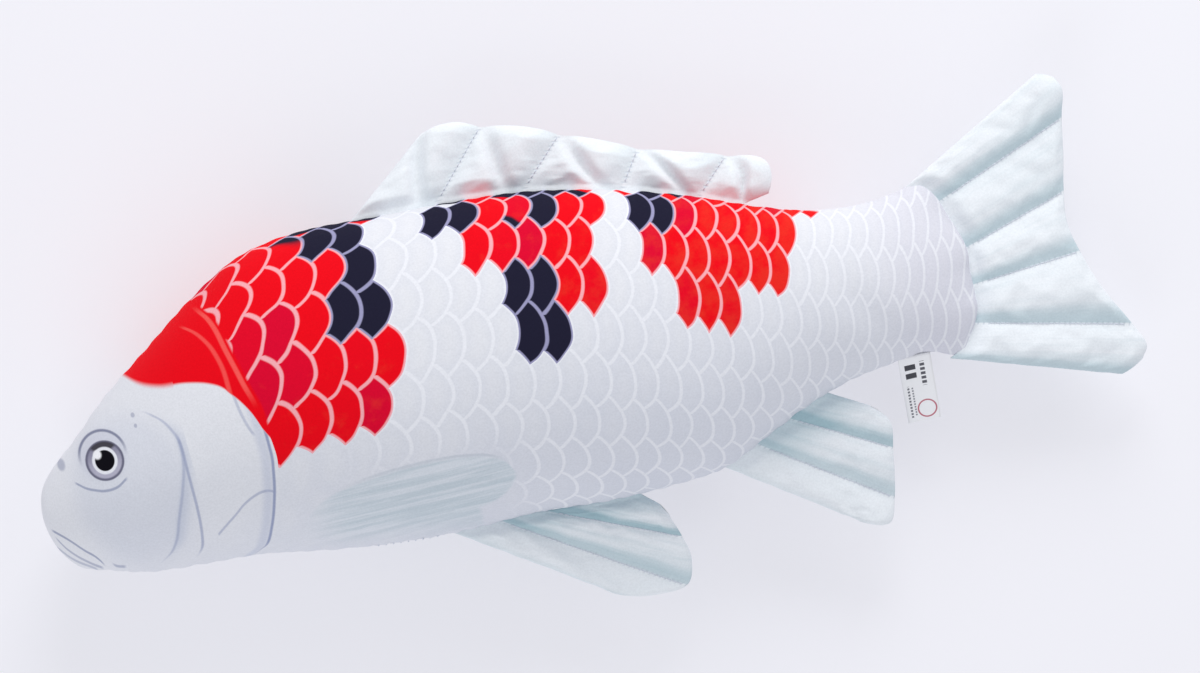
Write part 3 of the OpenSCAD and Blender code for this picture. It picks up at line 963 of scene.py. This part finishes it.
def eye_print(r, where, y, colour):
    socket = r.oval(where, (41, 18), (12.5, 13.5))
    colour = r.mix(socket.fall(0.8, 1.25) * 0.5, colour, ink(206, 208, 222))
    colour = r.mix((socket - 1).size().fall(0.02, 0.09) * y.rise(14, 26), colour, ink(138, 142, 164))
    iris = r.oval(where, (41.3, 15), (10.2, 10.8))
    colour = r.mix(iris.fall(0.98, 1.05), colour, ink(112, 112, 132))
    colour = r.mix(iris.fall(0.84, 0.94), colour, r.mix(y.rise(8, 22), ink(186, 184, 202), ink(146, 144, 164)))
    lid = r.oval(where, (42.5, 24), (8, 4.4)).fall(0.75, 1.1) * iris.fall(0.9, 1.0)
    colour = r.mix(lid, colour, ink(72, 70, 78))
    pupil = r.oval(where, (41.3, 15), (5.2, 5.7))
    colour = r.mix(pupil.fall(1.22, 1.38), colour, ink(240, 241, 246))
    colour = r.mix(pupil.fall(0.95, 1.05), colour, ink(14, 12, 20))
    return r.mix(r.oval(where, (38.2, 19), (2.4, 2.8)).fall(0.6, 1.15), colour, ink(252, 252, 254))


face_material = face_print()
print("face print:", len(face_material.node_tree.nodes), "nodes")

# %% [markdown]
# ## Fin cloth, thread and ribbon
# The fins are a whiter plush with fine rays in blue-green, printed from root to tip. Along one side of each quilted pad
# the colour is darkened with painted shade, where the pad slopes away from the light. Each stitch pulls a small dimple
# in the cloth, and the dimple is darkened with painted shade.

# %% The other materials
def fin_print(name, order, ink_and_shade, root_tint, pale=0.0):
    """The third argument is how strong the printed rays and the painted pad shade are over all, and root_tint how
    strong the ink is at the root. order is 1 if the rays run downwards and -1 if they run upwards; pale is how much of
    the ink and painted shade the first pad goes without."""
    r = Recipe(name)
    across, along = r.map("rays")
    fine = r.noise(r.point(across * 3.2, along * 0.10, 3), 1, 4, 0.65)
    broad = r.noise(r.point(across * 0.9, along * 0.16, 8), 1, 2, 0.5)
    pad = (across * 0.5 * order).fract()
    # painted shade along one side of each pad, where the pad slopes away from the light
    painted_pad_shade = pad.rise(0.6, 0.9) * pad.fall(0.97, 1.0)
    strength = (fine.rise(0.42, 0.72) * 0.3 + broad.rise(0.4, 0.75) * 0.2 + painted_pad_shade * 1.3) * ink_and_shade
    strength = (strength + along.fall(0.2, 3) * root_tint) * (1 - across.fall(1.2, 3.2) * pale)
    colour = r.mix(strength.low(1.0), ink(244, 248, 251), ink(172, 200, 208))
    seam = (0.5 - (pad - 0.5).size()).fall(0.0, 0.06) * across.rise(1, 1.2)
    dimple_and_shade = ((along / STITCH).fract() - 0.85).size().fall(0.05, 0.3)
    # painted shade in the stitch dimples; the same mask also sinks them with the relief below
    colour = r.mix(seam * dimple_and_shade * 0.35, colour, ink(160, 174, 190))
    return plush(r, colour, relief=seam * dimple_and_shade * -0.6)


def plain(name, colour, **more):
    return Recipe(name).finish(Base_Color=colour, **more)


def ribbon_print():
    """White satin with a plain ring and some grey bars, which stand for the print on a care label."""
    r = Recipe("satin_ribbon")
    across, way = r.map("ribbon")
    where = r.point(across, way)
    ring = r.oval(where, (11.6, 33), (5.0, 5.0))
    mark = (ring - 1).size().fall(0.03, 0.13)
    colour = r.mix(mark, ink(252, 252, 253), ink(190, 92, 110))
    front = way.under(RIBBON_L)
    for low, high, start, end, pitch, ink_tone in ((2.2, 3.4, 18, 37, 1.9, 120), (4.6, 5.5, 19, 36, 1.6, 140),
                                                    (2.6, 8.6, 4, 14, 5.2, 60), (11, 13.6, 4, 19, 2.7, 90)):
        rows = (way / pitch).fract().fall(0.58, 0.68)
        bar = across.rise(low, low + 0.3) * across.fall(high, high + 0.3) * way.rise(start, start + 0.2) * \
            way.fall(end, end + 0.2)
        colour = r.mix(bar * rows * front, colour, ink(ink_tone, ink_tone, ink_tone + 8))
    weave = r.node("ShaderNodeTexWave", {"bands_direction": "Y"}, {"Vector": where, "Scale": 1.2, "Distortion": 0.4})
    bump = r.node("ShaderNodeBump", None, {"Strength": 0.15, "Distance": 0.0002, "Height": weave})
    return r.finish(Base_Color=colour, Roughness=0.42, Sheen_Weight=0.2, Normal=bump)


thread_material = plain("sewing_thread", ink(216, 221, 231), Roughness=0.55)
ribbon_material = ribbon_print()
fin_materials = {"dorsal_fin": fin_print("fin_plush_dorsal", 1, 0.12, 0.0),
                 "tail_fin": fin_print("fin_plush_tail", 1, 0.44, 0.0),
                 "pelvic_fin": fin_print("fin_plush_pelvic", -1, 0.7, 0.5, 0.8),
                 "anal_fin": fin_print("fin_plush_anal", -1, 0.6, 0.5, 0.85)}

body.data.materials.append(flank_material)
body.data.materials.append(face_material)
HEAD_END = 95                    # the face material covers the cloth from the snout to here
for face in body.data.polygons:
    face.material_index = int(face.center.x / MM + CENTRE_X < HEAD_END)
for name, (obj, _) in fin_pieces.items():
    obj.data.materials.append(fin_materials[name])
    stitch_pieces[name].data.materials.append(thread_material)
label.data.materials.append(ribbon_material)
for name in ("back_seam_thread", "belly_seam_thread", "closing_stitches"):
    bpy.data.objects[name].data.materials.clear()
    bpy.data.objects[name].data.materials.append(thread_material)
print("materials on", len(fin_pieces) * 2 + 2, "new pieces and 3 CAD parts")

# %% [markdown]
# ## What moves with what
# The body rides on the trunk. Each fin is sewn to it, but here the fins and the label stay where they are made, and the
# CAD parts that they replace are hidden. The seam's own thread keeps the shape that the CAD model gives it.

# %% Bodies and hidden parts
# Where each fin starts to move and where it moves fully, in millimetres out from its hinge line.
BENDS = {"dorsal_fin": (-1, 9), "tail_fin": (4, 17), "pelvic_fin": (-1, 9), "anal_fin": (-1, 9)}


def off_hinge(fin, far):
    """A point so many millimetres outwards from the middle of a fin's hinge line."""
    hx, hy, turn = fin["hinge"]
    out = math.radians(turn + (90 if fin is FINS["dorsal_fin"] else -90))
    return hang(fin, Vector((hx + far * math.cos(out), hy + far * math.sin(out), 0)))


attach(body, "trunk")
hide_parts("left_body_panel", "right_body_panel", "body_filling")
for name, (obj, _) in fin_pieces.items():
    start, end = (off_hinge(FINS[name], far) for far in BENDS[name])
    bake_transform(obj)
    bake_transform(stitch_pieces[name])
    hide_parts(name + "_left_panel", name + "_right_panel", name + "_wadding")
    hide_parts(name + "_quilting")
lx, ly, lz = LABEL_ROOT
world(lx, ly, lz)
world(lx - 1, ly - 6, lz - 2.5)
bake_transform(label)
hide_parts("care_label")

# %% [markdown]
# ## Camera, floor and light
# The camera looks straight down on the fish, which is turned a little. The floor is pale and plain. One broad
# light comes from the side of the back fin, and a wide sky fills the rest. The floor glows a little, as a light
# table does, so the shadows stay soft.

# %% Camera
camera = bpy.data.objects.new("camera", bpy.data.cameras.new("camera"))
scene.collection.objects.link(camera)
scene.camera = camera
EYE_HEIGHT, VIEW_WIDTH, TURN = 1.80, 0.648, math.radians(-15.2)
camera.location = (0.0158, 0.0037, EYE_HEIGHT)
camera.rotation_euler = (0, 0, TURN)
camera.data.sensor_width = 36
camera.data.lens = 36 * (EYE_HEIGHT - SEAM_Z * MM) / VIEW_WIDTH
print(f"lens {camera.data.lens:.0f} mm")


# %% Floor and lights
def lamp(name, across, up, height, size, power, tone):
    """An area light placed as the camera sees it: across to the right and up the frame, in metres."""
    light = bpy.data.lights.new(name, "AREA")
    light.shape, light.size, light.energy, light.color = "DISK", size, power, tone
    obj = bpy.data.objects.new(name, light)
    scene.collection.objects.link(obj)
    obj.location = Vector((across * math.cos(TURN) - up * math.sin(TURN),
                           across * math.sin(TURN) + up * math.cos(TURN), height))
    obj.rotation_euler = (-obj.location).to_track_quat("-Z", "Y").to_euler()


floor_bm = bmesh.new()
bmesh.ops.create_grid(floor_bm, x_segments=1, y_segments=1, size=3)
floor = piece("studio_floor", floor_bm)
floor.data.materials.append(plain("studio_floor", ink(190, 190, 195), Roughness=0.9, Specular_IOR_Level=0.1,
                                  Emission_Color=ink(240, 239, 243), Emission_Strength=0.47))
lamp("key", 0.1, 1.7, 1.0, 1.1, 16, (1.0, 0.99, 0.98))
lamp("right", 1.2, 1.2, 1.0, 0.9, 3.6, (1.0, 1.0, 1.0))
lamp("fill", -0.6, -1.6, 1.2, 1.4, 7.2, (0.99, 0.99, 1.0))
sky = bpy.data.worlds.new("sky")
sky.use_nodes = True
sky.node_tree.nodes["Background"].inputs[0].default_value = (0.92, 0.94, 1.0, 1)
sky.node_tree.nodes["Background"].inputs[1].default_value = 0.64
scene.world = sky
scene.view_settings.view_transform = "Standard"
